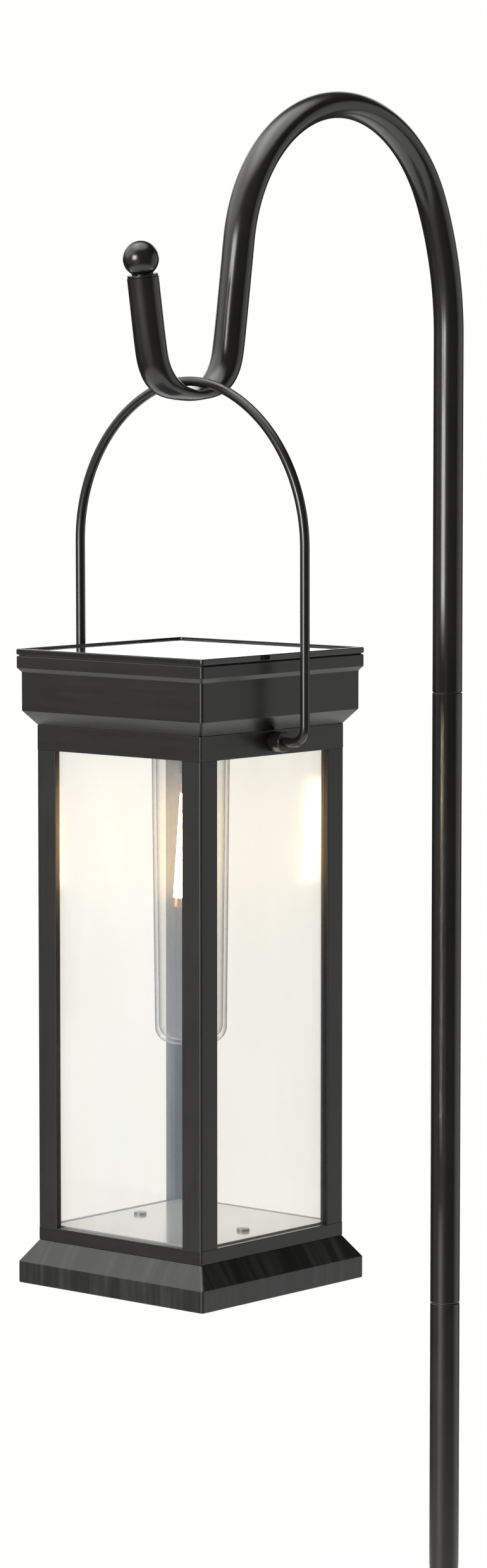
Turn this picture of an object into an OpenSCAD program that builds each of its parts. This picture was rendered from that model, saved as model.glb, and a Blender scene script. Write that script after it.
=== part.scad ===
// Solar garden light: a square glazed lantern hung on its wire bail from a tube shepherd's hook.
// Origin: centre of the pole at ground level. +Z is up, and the hook reaches out along -X.

/* [Pole] */
// Outer diameter of the pole and hook tube
tube_d = 16; // [15:0.5:17]
// Wall thickness of the tube
tube_wall = 1; // [0.8:0.1:1.2]
// Length of one straight pole section
section_l = 333; // [300:1:400]
// Depth of the ground spike below the soil line
spike_l = 200; // [160:5:240]

/* [Hook] */
// Straight rise of the hook section above its seam
rise_l = 190.5; // [170:0.5:220]
// Radius of the gentle shoulder where the arch begins
shoulder_r = 171; // [165:1:180]
// Angle turned by the shoulder
shoulder_a = 24.5; // [22:0.5:26]
// Radius of the arch
arch_r = 82; // [80:1:86]
// Angle turned by the arch
arch_a = 147; // [145:0.5:149]
// Straight drop between the arch and the crook
drop_l = 57.5; // [54:0.5:62]
// Radius of the crook that holds the bail
crook_r = 29.5; // [28:0.5:32]
// Angle turned by the crook
crook_a = 162.5; // [160:0.5:165]
// Straight tip after the crook
tip_l = 38.5; // [34:0.5:42]
// Diameter of the ball on the tip
ball_d = 18; // [17:0.5:20]

/* [Lantern] */
// Width of the square cap and of the plinth
cap_w = 125; // [123:0.5:127]
// Width of the glazed body
body_w = 110; // [109:0.5:111]
// Height of the lantern without its bail
lantern_h = 323.6; // [320:0.2:330]
// Width of each window opening
window_w = 85; // [80:1:88]
// Diameter of the bail wire
wire_d = 4.8; // [4.4:0.1:5]
// Distance from the lantern's centre to each bail leg
leg_y = 75.5; // [74:0.5:78]

/* [Lamp] */
// Outer diameter of the clear tube round the filament, at its mouth
lamp_tube_d = 39.8; // [38:0.2:40.2]
// Wall thickness of the clear tube
lamp_tube_wall = 2; // [1.5:0.1:2.5]
// Length of the glowing filament
filament_l = 53.5; // [46:0.5:56]

/* [Hidden] */
$fn = 64;

gap = 0.3;               // clearance between pieces that move past each other
fit = 0.05;              // radial clearance of a plug in a tube
seam = 0.1;              // gap between two lengths of a bent tube
sleeve_l = 0.9;          // sleeve over that gap
sleeve_t = 0.08;
cut = 1;                 // how far a cutting shape runs past the face it opens

// Pole and hook
bore_d = tube_d - 2*tube_wall;
plug_d = bore_d - 2*fit;
plug_l = 45;             // how far a joiner stands up into the section above
plug_grip = 35;          // how far it is pressed into the section below
arch_total = shoulder_a + arch_a;
rise_top_z = 2*section_l + rise_l;
// Centres of the arch and of the crook, from the turns of the tube's centre line
arch_x = -shoulder_r + (shoulder_r - arch_r)*cos(shoulder_a);
arch_z = rise_top_z + (shoulder_r - arch_r)*sin(shoulder_a);
crook_x = arch_x + (arch_r + crook_r)*cos(arch_total) - drop_l*sin(arch_total);
crook_z = arch_z + (arch_r + crook_r)*sin(arch_total) + drop_l*cos(arch_total);
saddle_z = crook_z - crook_r + tube_d/2;     // top of the tube at the bottom of the crook

// Lantern heights, from the underside of the plinth
rim_h = 11;              // upright part of the plinth
plinth_h = 22;           // where the body starts
sill_z = 29;             // lower edge of the windows
floor_z = 29.5;          // top of the floor plate
eaves_z = lantern_h - 38.6;    // underside of the cap
head_z = eaves_z - 12.7;       // upper edge of the windows
band_z = eaves_z + 7.3;        // top of the cap's large bevel
step_z = eaves_z + 26.7;       // foot of the cap's small bevel
ring_z = step_z + 2.3;
ring_top_z = eaves_z + 35;
lid_z = ring_top_z + 0.6;
frame_t = 3;             // wall thickness of the rails and posts
glass_t = 2;
cap_h = cap_w/2;         // half widths
body_h = body_w/2;
band_h = cap_h - 1.8;
inner_h = body_h - frame_t;
pane_h = inner_h - 0.1;
deck_h = inner_h - glass_t - 0.6;
shell_t = 2.2;
tray_z = eaves_z + shell_t;
tray_t = 2;
opening_h = 46;          // half width of the opening in the cap's underside
tray_boss_h = 48.5;      // the tray's screws, from the centre lines

// Bail
pivot_z = eaves_z - 5.7;
bend_r = 7.5;            // where a leg turns in to its pivot
straight_z = pivot_z + 96.5;   // where the legs start to close in
bow_r = 83.7;            // radius of the bail's sides
bow_a = 66;
crown_r = bow_r - (bow_r - leg_y)/cos(bow_a);
crown_z = straight_z + (bow_r - crown_r)*sin(bow_a) + crown_r;
pivot_in = body_h - 8;   // inner end of each pivot
bush_d = 10.2;
bush_neck_d = 8;
bush_out = 7.8;          // how far a bush stands out of the rail
bush_bore_d = wire_d + 0.18;

// The bail hangs on the saddle of the crook, and that places the lantern
lantern_x = crook_x;
lantern_z = saddle_z + gap + sleeve_t + wire_d/2 - crown_z;

// Lamp
lamp_bottom = 122.6;
lamp_round = 13.5;       // radius of the tube's bottom edge
lamp_top = eaves_z - 2;
filament_z = eaves_z - 88.9;
filament_d = 5;
filament_cap_d = 6;
filament_lean = 5;         // the filament hangs a little out of true in its tube
filament_side = [-1, 2];   // where it leaves the holder's stem
lamp_taper = 0.0118;       // the tube narrows downwards, mm of radius per mm
stem_z = eaves_z - 25;

// Solar panel
pocket_h = 52.2;         // half width of the pocket for the panel
cell_rows = 6;
cell_gap = 1;

// Battery compartment, a 14500 cell (AA size)
cell_d = 14.2;
cell_l = 50.5;
cell_y = 37;
cell_z = tray_z + tray_t + 8.4;
hatch_l = 54;
hatch_w = 15.6;
board_z = tray_z + tray_t + 7.8;
board_y = -36;
board_t = 1.6;
switch_y = -36;
door_screw_x = 31;
lead_x = 3;              // the lamp's two leads pass at either side of the centre line
lead_y = -4;
lead_hole_d = 1.6;

// Small screws
screw_d = 2.2;
pilot_d = screw_d + 2*fit;
clear_d = screw_d + 0.3;
floor_screw_y = 35;
foot_screw_h = cap_h - 8;

// ---------------------------------------------------------------- shapes used more than once

module on_lantern() {
    translate([lantern_x, 0, lantern_z]) children();
}

// A square-plan form whose four sides all follow one profile of [half width, z] points
module square_form(profile) {
    last = len(profile) - 1;
    outline = concat(profile, [for (i = [last:-1:0]) [-profile[i][0], profile[i][1]]]);
    width = 2*max([for (p = profile) p[0]]);
    intersection() {
        rotate([90, 0, 0]) linear_extrude(width, center = true) polygon(outline);
        rotate([90, 0, 90]) linear_extrude(width, center = true) polygon(outline);
    }
}

// A square block given by its half width and its lower and upper faces
module block(half, z0, z1) {
    translate([-half, -half, z0]) cube([2*half, 2*half, z1 - z0]);
}

module square_ring(outer, inner, z0, z1) {
    difference() {
        block(outer, z0, z1);
        block(inner, z0 - cut, z1 + cut);
    }
}

module at_corners(half) {
    for (x = [-half, half], y = [-half, half]) translate([x, y, 0]) children();
}

module round_section(outer_d, inner_d) {
    difference() {
        circle(d = outer_d);
        if (inner_d > 0) circle(d = inner_d);
    }
}

// The next length of a bent tube starts a hair further on, inside a sleeve that bridges the two
module joined(outer_d, inner_d) {
    translate([0, 0, -sleeve_l/2]) linear_extrude(sleeve_l + seam)
        round_section(outer_d + 2*sleeve_t, max(0, inner_d - 2*sleeve_t));
    translate([0, 0, seam]) children();
}

// A straight run along +Z; the children start at its end
module run(length, outer_d, inner_d = 0) {
    linear_extrude(length) round_section(outer_d, inner_d);
    translate([0, 0, length]) if ($children > 0) joined(outer_d, inner_d) children();
}

// A bend that starts along +Z and turns towards -X, or towards +X when side is -1
module bend(radius, angle, side, outer_d, inner_d = 0) {
    mirror([side < 0 ? 1 : 0, 0, 0])
        translate([-radius, 0, 0]) rotate([90, 0, 0]) rotate_extrude(angle = angle)
            translate([radius, 0]) round_section(outer_d, inner_d);
    translate([-side*radius, 0, 0]) rotate([0, -side*angle, 0])
        translate([side*radius, 0, 0]) if ($children > 0) joined(outer_d, inner_d) children();
}

// The place and direction of the hook's tip, for what is fitted there
module at_tip() {
    tip_a = arch_total - crook_a;
    translate([crook_x, 0, crook_z]) rotate([0, -tip_a, 0])
        translate([-crook_r, 0, tip_l]) children();
}

module panhead_screw(shank_d, shank_l, head_d, head_h) {
    cylinder(d = head_d, h = head_h);
    translate([0, 0, -shank_l]) cylinder(d = shank_d, h = shank_l);
}

// ---------------------------------------------------------------- pole

module ground_spike() {
    blade_w = 28;
    blade_t = 3;
    collar_h = 6;
    shoulder = 60;
    outline = [[-blade_w/2, 0], [blade_w/2, 0], [blade_w/2, -shoulder], [0, -spike_l],
               [-blade_w/2, -shoulder]];
    color("black") {
        for (turn = [0, 90]) rotate([90, 0, turn])
            linear_extrude(blade_t, center = true) polygon(outline);
        translate([0, 0, -collar_h]) cylinder(d = 34, h = collar_h);
        cylinder(d = plug_d, h = plug_grip);
    }
}

module pole_section(bottom_z) {
    translate([0, 0, bottom_z]) run(section_l - gap, tube_d, bore_d);
}

module lower_pole() {
    color("#2c2c2b") pole_section(0);
}

module middle_pole() {
    color("#2c2c2b") pole_section(section_l);
}

// A joiner is a short rod pressed into the section below; the section above slips over it
module joiner(seam_z) {
    color("dimgray") translate([0, 0, seam_z - gap - plug_grip])
        cylinder(d = plug_d, h = plug_grip + gap + plug_l);
}

module lower_joiner() {
    joiner(section_l);
}

module upper_joiner() {
    joiner(2*section_l);
}

module hook_pole() {
    color("#2c2c2b") translate([0, 0, 2*section_l])
        run(rise_l, tube_d, bore_d)
        bend(shoulder_r, shoulder_a, 1, tube_d, bore_d)
        bend(arch_r, arch_a, 1, tube_d, bore_d)
        run(drop_l, tube_d, bore_d)
        bend(crook_r, crook_a, -1, tube_d, bore_d)
        run(tip_l - seam, tube_d, bore_d);
}

module hook_ball() {
    collar_h = 1.4;
    plug_slack = 0.2;
    color("#2c2c2b") at_tip() {
        translate([0, 0, collar_h/2 + ball_d/2 - 0.6]) sphere(d = ball_d);
        cylinder(d = tube_d - 0.6, h = collar_h);
        translate([0, 0, -12]) cylinder(d = plug_d - plug_slack, h = 12);
    }
}

// ---------------------------------------------------------------- bail

module half_bail() {
    half_seam_a = asin(seam/crown_r);
    translate([pivot_in, 0, pivot_z]) rotate([0, 90, 0])
        run(leg_y - bend_r - pivot_in - seam, wire_d)
        bend(bend_r, 90, 1, wire_d)
        run(straight_z - pivot_z - bend_r - 2*seam, wire_d)
        bend(bow_r, bow_a, 1, wire_d)
        bend(crown_r, 90 - bow_a - half_seam_a, 1, wire_d);
}

module bail_handle() {
    color("#2c2c2b") on_lantern() {
        rotate([0, 0, 90]) half_bail();
        rotate([0, 0, -90]) half_bail();
        translate([0, 0, crown_z]) rotate([90, 0, 0])
            cylinder(d = wire_d + 2*sleeve_t, h = 2*sleeve_l, center = true);
    }
}

module bail_washers() {
    color("silver") on_lantern() for (turn = [90, -90]) rotate([0, 0, turn])
        translate([inner_h - 3.9, 0, pivot_z]) rotate([0, 90, 0]) difference() {
            cylinder(d = 7.8, h = 1.4);
            translate([0, 0, -cut]) cylinder(d = wire_d, h = 1.4 + 2*cut);
        }
}

module pivot_bushes() {
    color("#333333") on_lantern() for (turn = [90, -90]) rotate([0, 0, turn])
        translate([body_h, 0, pivot_z]) rotate([0, 90, 0]) difference() {
            union() {
                cylinder(d = bush_d, h = bush_out);
                translate([0, 0, -frame_t]) cylinder(d = bush_neck_d, h = frame_t + cut);
            }
            translate([0, 0, -frame_t - cut])
                cylinder(d = bush_bore_d, h = frame_t + bush_out + 2*cut);
        }
}

// ---------------------------------------------------------------- lantern body

module plinth() {
    wall = 2.7;
    boss_z = 13;
    color("#2f2f2d") on_lantern() difference() {
        union() {
            difference() {
                union() {
                    square_form([[cap_h, 0], [cap_h, rim_h], [body_h, plinth_h]]);
                    block(deck_h, plinth_h - cut, floor_z - 1.5);
                }
                square_form([[cap_h - wall, -cut], [cap_h - wall, rim_h - 1], [body_h - wall, plinth_h - 2.5]]);
                block(deck_h - 2.2, plinth_h - 5, floor_z - 3.7);
            }
            for (side = [-1, 1]) translate([0, side*floor_screw_y, boss_z])
                cylinder(d = 8, h = floor_z - 3.6 - boss_z);
            at_corners(foot_screw_h) translate([0, 0, 2]) cylinder(d = 7, h = 14);
        }
        for (side = [-1, 1]) translate([0, side*floor_screw_y, boss_z - cut])
            cylinder(d = pilot_d, h = floor_z - boss_z);
        at_corners(foot_screw_h) cylinder(d = pilot_d, h = 12);
    }
}

module base_cover() {
    color("#2a2a29") on_lantern() difference() {
        block(cap_h - 3, 0, 2);
        at_corners(foot_screw_h) translate([0, 0, -cut]) cylinder(d = clear_d, h = 2 + 2*cut);
        at_corners(foot_screw_h) translate([0, 0, -cut]) cylinder(d = 4.6, h = cut + 1.3);
    }
}

module base_cover_screws() {
    color("silver") on_lantern() at_corners(foot_screw_h) translate([0, 0, 1.3]) mirror([0, 0, 1])
        panhead_screw(screw_d, 9, 4.2, 1.1);
}

module floor_plate() {
    color("gainsboro") on_lantern() difference() {
        block(deck_h, floor_z - 1.5, floor_z);
        for (side = [-1, 1]) translate([0, side*floor_screw_y, floor_z - 2.5]) cylinder(d = clear_d, h = 4);
    }
}

module floor_screws() {
    color("dimgray") on_lantern() for (side = [-1, 1]) translate([0, side*floor_screw_y, floor_z])
        panhead_screw(screw_d, 11, 6.4, 1.3);
}

module bottom_rail() {
    color("#2f2f2d") on_lantern() square_ring(body_h, inner_h, plinth_h, sill_z);
}

module top_rail() {
    color("#2f2f2d") on_lantern() difference() {
        square_ring(body_h, inner_h, head_z, eaves_z);
        translate([0, 0, pivot_z]) rotate([90, 0, 0])
            cylinder(d = bush_neck_d, h = body_w + 2*cut, center = true);
    }
}

// Four angle-section posts, one in each quarter of the plan
module corner_post(turn) {
    flange = body_h - window_w/2;
    color("#2f2f2d") on_lantern() rotate([0, 0, turn]) intersection() {
        square_ring(body_h, inner_h, sill_z, head_z);
        translate([body_h - flange, body_h - flange, 0]) cube([flange, flange, head_z]);
    }
}

module corner_post_1() { corner_post(180); }
module corner_post_2() { corner_post(270); }
module corner_post_3() { corner_post(0); }
module corner_post_4() { corner_post(90); }

module glass_pane(turn) {
    color("azure", 0.25) on_lantern() rotate([0, 0, turn])
        translate([pane_h - glass_t, -deck_h, plinth_h + 2.5])
            cube([glass_t, 2*deck_h, head_z + 3.2 - plinth_h - 2.5]);
}

module glass_pane_left() { glass_pane(180); }
module glass_pane_front() { glass_pane(270); }
module glass_pane_right() { glass_pane(0); }
module glass_pane_back() { glass_pane(90); }

// Angle beads in the corners, which hold the panes against the posts
module pane_beads() {
    bead = pane_h - glass_t - 0.2;
    leg = 4;
    color("#2a2a29") on_lantern() intersection() {
        square_ring(bead, bead - 1.4, floor_z + 0.1, head_z);
        at_corners(bead - leg/2) translate([0, 0, head_z/2]) cube([leg, leg, head_z], center = true);
    }
}

// ---------------------------------------------------------------- cap

module cap_shell() {
    rim_z = eaves_z - 2.6;
    boss_z = eaves_z - 3.5;
    color("#2f2f2d") on_lantern() difference() {
        union() {
            difference() {
                square_form([[body_h, eaves_z], [band_h, band_z], [band_h, step_z], [cap_h, ring_z],
                             [cap_h, ring_top_z]]);
                square_form([[body_h - 2.4, tray_z], [band_h - shell_t, band_z + 0.9],
                             [band_h - shell_t, ring_top_z + cut]]);
                block(opening_h, rim_z, tray_z + cut);
            }
            // Locating rim inside the lantern's top rail
            square_ring(inner_h - 0.4, inner_h - 2.2, rim_z, eaves_z + cut);
            at_corners(tray_boss_h) translate([0, 0, boss_z]) cylinder(d = 5.6, h = tray_z - boss_z);
        }
        at_corners(tray_boss_h) translate([0, 0, boss_z + cut]) cylinder(d = pilot_d, h = 6);
        // Finger-nail recess for lifting the cap's lid
        translate([-cap_h - cut, 15.3, ring_top_z - 1.7]) rotate([0, 90, 0]) cylinder(d = 3, h = cut + 1.2);
    }
}

module lid_gasket() {
    color("#151515") on_lantern() square_ring(cap_h - 1.3, cap_h - 3.7, ring_top_z, lid_z);
}

module lid_frame() {
    rim_w = 1.8;
    pad_z = lid_z - 2.8;
    color("#262625") on_lantern() difference() {
        union() {
            block(cap_h, lid_z, lantern_h);
            block(pocket_h + 3.8, pad_z, lid_z + cut);
        }
        block(cap_h - rim_w, lantern_h - 1, lantern_h + cut);
        block(pocket_h, pad_z + 1.6, lantern_h + cut);
        translate([0, board_y + 6, pad_z - cut]) cylinder(d = 10, h = 4);
    }
}

module cell_board() {
    color("darkgreen") on_lantern() block(pocket_h - 0.2, lid_z - 1.2, lid_z + 0.3);
}

module solar_cells() {
    field = 2*pocket_h - 4;
    pitch = (field + cell_gap)/cell_rows;
    color("#101a33") on_lantern() for (i = [0:cell_rows - 1])
        translate([-field/2 + i*pitch, -field/2, lid_z + 0.3]) cube([pitch - cell_gap, field, 0.3]);
}

module panel_cover() {
    color("#8fa3b8", 0.4) on_lantern() block(pocket_h - 0.1, lid_z + 0.6, lantern_h - 1);
}

// ---------------------------------------------------------------- what the cap holds

module module_tray() {
    standoff_x = 25;
    slot = [10.4, 4.4];
    color("#3a3a38") on_lantern() difference() {
        union() {
            block(body_h - 3.2, tray_z, tray_z + tray_t);
            for (x = [-standoff_x, standoff_x], y = [-9, 9])
                translate([x, board_y + y, tray_z]) cylinder(d = 4, h = board_z - tray_z);
        }
        translate([-hatch_l/2, cell_y - hatch_w/2, tray_z - cut]) cube([hatch_l, hatch_w, tray_t + 2*cut]);
        translate([-slot[0]/2, switch_y - slot[1]/2, tray_z - cut]) cube([slot[0], slot[1], tray_t + 2*cut]);
        for (side = [-1, 1]) translate([side*lead_x, lead_y, tray_z - cut])
            cylinder(d = lead_hole_d, h = tray_t + 2*cut);
        at_corners(tray_boss_h) translate([0, 0, tray_z - cut]) cylinder(d = clear_d, h = tray_t + 2*cut);
        translate([door_screw_x, cell_y, tray_z - cut]) cylinder(d = pilot_d, h = tray_t + 2*cut);
    }
}

module tray_screws() {
    color("silver") on_lantern() at_corners(tray_boss_h) translate([0, 0, tray_z + tray_t])
        panhead_screw(screw_d, 5.5, 4.4, 1.4);
}

module battery_holder() {
    wall = 1.5;
    top = cell_z + cell_d/2 + 0.6;
    color("#1f1f1f") on_lantern() difference() {
        translate([-hatch_l/2 - wall, cell_y - hatch_w/2 - wall, tray_z + tray_t])
            cube([hatch_l + 2*wall, hatch_w + 2*wall, top + wall - tray_z - tray_t]);
        translate([-hatch_l/2, cell_y - hatch_w/2, tray_z])
            cube([hatch_l, hatch_w, top - tray_z]);
    }
}

module battery() {
    button = 1;
    color("seagreen") on_lantern() translate([-cell_l/2, cell_y, cell_z]) rotate([0, 90, 0]) {
        cylinder(d = cell_d, h = cell_l - button);
        cylinder(d = 5, h = cell_l);
    }
}

module battery_contacts() {
    color("gold") on_lantern() for (side = [-1, 1]) translate([side*(hatch_l/2 - 0.25), cell_y, cell_z]) {
        cube([0.5, 10, 11], center = true);
        translate([-side*0.75, 0, 0]) cube([1, 4, 4], center = true);
    }
}

module battery_door() {
    color("#3a3a38") on_lantern() difference() {
        translate([-hatch_l/2 - 1.5, cell_y - hatch_w/2 - 1, tray_z - 1.8])
            cube([hatch_l + 10, hatch_w + 2, 1.8]);
        translate([door_screw_x, cell_y, tray_z - 3]) cylinder(d = clear_d, h = 4);
    }
}

module battery_door_screw() {
    color("silver") on_lantern() translate([door_screw_x, cell_y, tray_z - 1.8]) mirror([0, 0, 1])
        panhead_screw(screw_d, 3.6, 4.2, 1.3);
}

module circuit_board() {
    color("forestgreen") on_lantern() translate([-28, board_y - 12, board_z]) cube([56, 24, board_t]);
}

module board_parts() {
    sizes = [[6, 5, 1.6], [7, 7, 3.2], [4, 6, 2.4], [5, 4, 1.4]];
    color("#222222") on_lantern() for (i = [0:3])
        translate([-22 + 12*i, board_y - 8, board_z + board_t]) cube(sizes[i]);
    color("silver") on_lantern() translate([16, board_y + 5, board_z + board_t]) cylinder(d = 5, h = 7);
}

module internal_wires() {
    lead_d = 1.2;
    turn_r = 3;
    level = board_z - 4;     // height at which the lamp's leads cross the tray
    pad_y = board_y + 9;
    holder_y = cell_y - hatch_w/2 - 1.5;
    color("firebrick") on_lantern() {
        // panel to board
        for (side = [-1, 1]) translate([side*lead_x, board_y + 6, board_z + board_t])
            run(lid_z - 1.2 - board_z - board_t, lead_d);
        // battery to board
        for (x = [-22, 22]) translate([x, holder_y, board_z + board_t + lead_d/2]) rotate([90, 0, 0])
            run(holder_y - board_y - 10, lead_d);
        // board to lamp
        for (side = [-1, 1]) translate([side*lead_x, lead_y, eaves_z]) rotate([0, 0, -90])
            run(level - turn_r - eaves_z, lead_d)
            bend(turn_r, 90, -1, lead_d)
            run(lead_y - pad_y - 2*turn_r - 2*seam, lead_d)
            bend(turn_r, 90, 1, lead_d)
            run(board_z - level - turn_r - 2*seam, lead_d);
    }
}

module switch_body() {
    color("#151515") on_lantern() translate([0, switch_y, tray_z + tray_t]) difference() {
        translate([-8, -4, 0]) cube([16, 8, 5.6]);
        translate([-5.5, -2.5, -cut]) cube([11, 5, cut + 4]);
    }
}

module switch_slider() {
    color("white") on_lantern() translate([-2.6, switch_y, tray_z]) {
        translate([-2, -1.9, -2.8]) cube([4, 3.8, 5.6]);
        translate([-2.5, -2.2, tray_t + 0.4]) cube([5, 4.4, 3]);
    }
}

// ---------------------------------------------------------------- lamp

module lamp_holder() {
    color("#2a2a29") on_lantern() difference() {
        union() {
            translate([0, 0, eaves_z + 0.2]) cylinder(d = 52, h = 2);
            translate([0, 0, head_z + 0.7]) cylinder(d = 43, h = eaves_z + 0.2 - head_z - 0.7 + cut);
        }
        translate([0, 0, head_z - cut]) difference() {
            cylinder(d = lamp_tube_d + 0.16, h = eaves_z - 1.8 - head_z + cut);
            translate([0, 0, stem_z - head_z]) cylinder(d = 12, h = 60);
        }
        for (side = [-1, 1]) translate([side*lead_x, lead_y, eaves_z - cut]) cylinder(d = lead_hole_d, h = 5);
    }
    color("#2a2a29") on_lantern() translate([0, 0, stem_z]) difference() {
        cylinder(d = 12, h = eaves_z - stem_z);
        translate([0, 0, -stem_z]) leaning() translate([0, 0, stem_z - 2]) cylinder(d = filament_cap_d + 0.1, h = 6);
        for (side = [-1, 1]) translate([side*lead_x, lead_y, eaves_z - stem_z - cut])
            cylinder(d = lead_hole_d, h = 2*cut);
    }
}

module lamp_tube_outline(shrink) {
    shoulder_z = lamp_bottom + lamp_round;
    low_r = lamp_tube_d/2 - (lamp_top - shoulder_z)*lamp_taper;
    corner = low_r - lamp_round;
    r = lamp_round - shrink;
    intersection() {
        union() {
            polygon([[0, shoulder_z], [low_r - shrink, shoulder_z], [lamp_tube_d/2 - shrink, lamp_top],
                     [0, lamp_top]]);
            translate([0, lamp_bottom + shrink]) square([corner, lamp_round]);
            translate([corner, shoulder_z]) circle(r = r);
        }
        square([lamp_tube_d, lamp_top]);
    }
}

module bulb_tube() {
    color("azure", 0.3) on_lantern() difference() {
        rotate_extrude() lamp_tube_outline(0);
        rotate_extrude() lamp_tube_outline(lamp_tube_wall);
        block(lamp_tube_d + 2, lamp_top - 0.5, lamp_top + 20);
    }
}

module leaning() {
    translate([filament_side[0], filament_side[1], stem_z]) rotate([filament_lean, 0, 0])
        translate([0, 0, -stem_z]) children();
}

module led_filament() {
    color("orange") on_lantern() leaning() translate([0, 0, filament_z]) cylinder(d = filament_d, h = filament_l);
}

module filament_caps() {
    cap_l = 4.8;
    upper_z = filament_z + filament_l;
    color("peru") on_lantern() leaning() {
        translate([0, 0, filament_z - cap_l]) cylinder(d = filament_cap_d, h = cap_l);
        translate([0, 0, upper_z]) cylinder(d = filament_cap_d, h = stem_z + 3.9 - upper_z);
    }
}

// The return wire rises beside the filament from its lower cap to the holder's stem
module filament_wires() {
    turn_r = 1.6;
    reach = 5.8;
    drop = 3;
    color("silver") on_lantern() leaning() rotate([0, 0, 180]) translate([0, filament_cap_d/2, filament_z - drop])
        rotate([0, 90, 90])
        run(reach - filament_cap_d/2 - turn_r - seam, 0.8)
        bend(turn_r, 90, 1, 0.8)
        run(stem_z - filament_z + drop - turn_r - seam - 0.6, 0.8);
}

// ---------------------------------------------------------------- nodes

ground_spike();
lower_pole();
lower_joiner();
middle_pole();
upper_joiner();
hook_pole();
hook_ball();
bail_handle();
bail_washers();
pivot_bushes();
plinth();
base_cover();
base_cover_screws();
floor_plate();
floor_screws();
bottom_rail();
top_rail();
corner_post_1();
corner_post_2();
corner_post_3();
corner_post_4();
glass_pane_front();
glass_pane_back();
glass_pane_left();
glass_pane_right();
pane_beads();
cap_shell();
lid_gasket();
lid_frame();
cell_board();
solar_cells();
panel_cover();
module_tray();
tray_screws();
battery_holder();
battery();
battery_contacts();
battery_door();
battery_door_screw();
circuit_board();
board_parts();
internal_wires();
switch_body();
switch_slider();
lamp_holder();
bulb_tube();
led_filament();
filament_caps();
filament_wires();
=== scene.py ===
# %% [markdown]
# # A solar garden light
# A square glazed lantern hangs by a wire bail from a shepherd's hook of bent steel tube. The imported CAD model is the
# frame: it says where each piece is and how it moves. This lesson rebuilds the pieces that show as smooth surfaces,
# gives every piece a finish, and lights the whole like a plain studio. Lengths in the cells are in millimetres, and
# `MM` turns them into Blender's metres.

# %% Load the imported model
import math

import bmesh
import bpy
import numpy as np
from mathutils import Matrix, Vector


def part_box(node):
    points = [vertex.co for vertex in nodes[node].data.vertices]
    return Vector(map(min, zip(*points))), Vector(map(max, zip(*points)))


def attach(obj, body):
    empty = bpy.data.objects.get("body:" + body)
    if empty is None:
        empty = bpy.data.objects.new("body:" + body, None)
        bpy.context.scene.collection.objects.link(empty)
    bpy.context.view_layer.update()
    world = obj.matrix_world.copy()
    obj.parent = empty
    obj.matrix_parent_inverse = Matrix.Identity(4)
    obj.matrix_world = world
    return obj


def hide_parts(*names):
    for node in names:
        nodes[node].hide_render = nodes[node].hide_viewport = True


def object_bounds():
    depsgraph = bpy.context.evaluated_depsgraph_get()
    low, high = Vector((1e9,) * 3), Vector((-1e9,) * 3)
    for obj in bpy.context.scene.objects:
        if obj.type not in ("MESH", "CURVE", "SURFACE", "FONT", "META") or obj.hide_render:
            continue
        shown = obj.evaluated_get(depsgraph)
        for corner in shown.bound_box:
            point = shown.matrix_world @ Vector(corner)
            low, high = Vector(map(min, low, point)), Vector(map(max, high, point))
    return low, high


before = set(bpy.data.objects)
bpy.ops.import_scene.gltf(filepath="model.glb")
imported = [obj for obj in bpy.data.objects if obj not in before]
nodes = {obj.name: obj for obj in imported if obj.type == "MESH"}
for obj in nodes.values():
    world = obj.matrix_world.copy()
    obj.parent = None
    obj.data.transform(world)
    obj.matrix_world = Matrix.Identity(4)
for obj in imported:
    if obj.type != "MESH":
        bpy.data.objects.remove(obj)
cad_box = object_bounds()
MM = 0.001

# %% [markdown]
# ## Where things are
# The pole stands on the origin. The lantern hangs off it, so its own heights are counted from the underside of its
# plinth, on the vertical through its centre. Both come from the boxes of the CAD nodes, never from a typed number.

# %% Find the lantern's axis and the hook's seam
plinth_low, plinth_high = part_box("plinth")
lantern = np.array([(plinth_low.x + plinth_high.x)/2, (plinth_low.y + plinth_high.y)/2, plinth_low.z])
hook_seam_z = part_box("hook_pole")[0].z
print("lantern axis at", lantern.round(4), "and the hook section starts at", round(hook_seam_z, 4))

# %% [markdown]
# ## Camera
# A product picture is taken from far away with a long lens, so that upright edges stay nearly parallel. The camera
# stands about 2.5 m from the lantern, a little above the panel, and looks down by some five degrees. Its place is
# given in metres from the foot of the lantern's axis, so it would follow the lantern if the model changed.

# %% Place the camera
camera = bpy.data.objects.new("camera", bpy.data.cameras.new("camera"))
bpy.context.scene.collection.objects.link(camera)
from_lantern, sight_line, focal_length = (-1.8373, -1.6195, 0.4852), (0.75400, 0.65014, -0.09380), 111.52
camera.location = Vector(lantern + np.array(from_lantern))
camera.rotation_mode = "QUATERNION"
camera.rotation_quaternion = Vector(sight_line).to_track_quat("-Z", "Y")
camera.data.sensor_width = 36
camera.data.lens = focal_length
camera.data.clip_start, camera.data.clip_end = 0.05, 200
bpy.context.scene.camera = camera
print("camera at", [round(v, 3) for v in camera.location])

# %% [markdown]
# ## Shader arithmetic
# A material is a graph of nodes, and long graphs are easier to read as formulas. `Socket` wraps one output and turns
# + - and * into Math nodes. `Finish` holds one material, and its `add` makes any node from its type, its settings and
# the values or links of its inputs.

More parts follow.
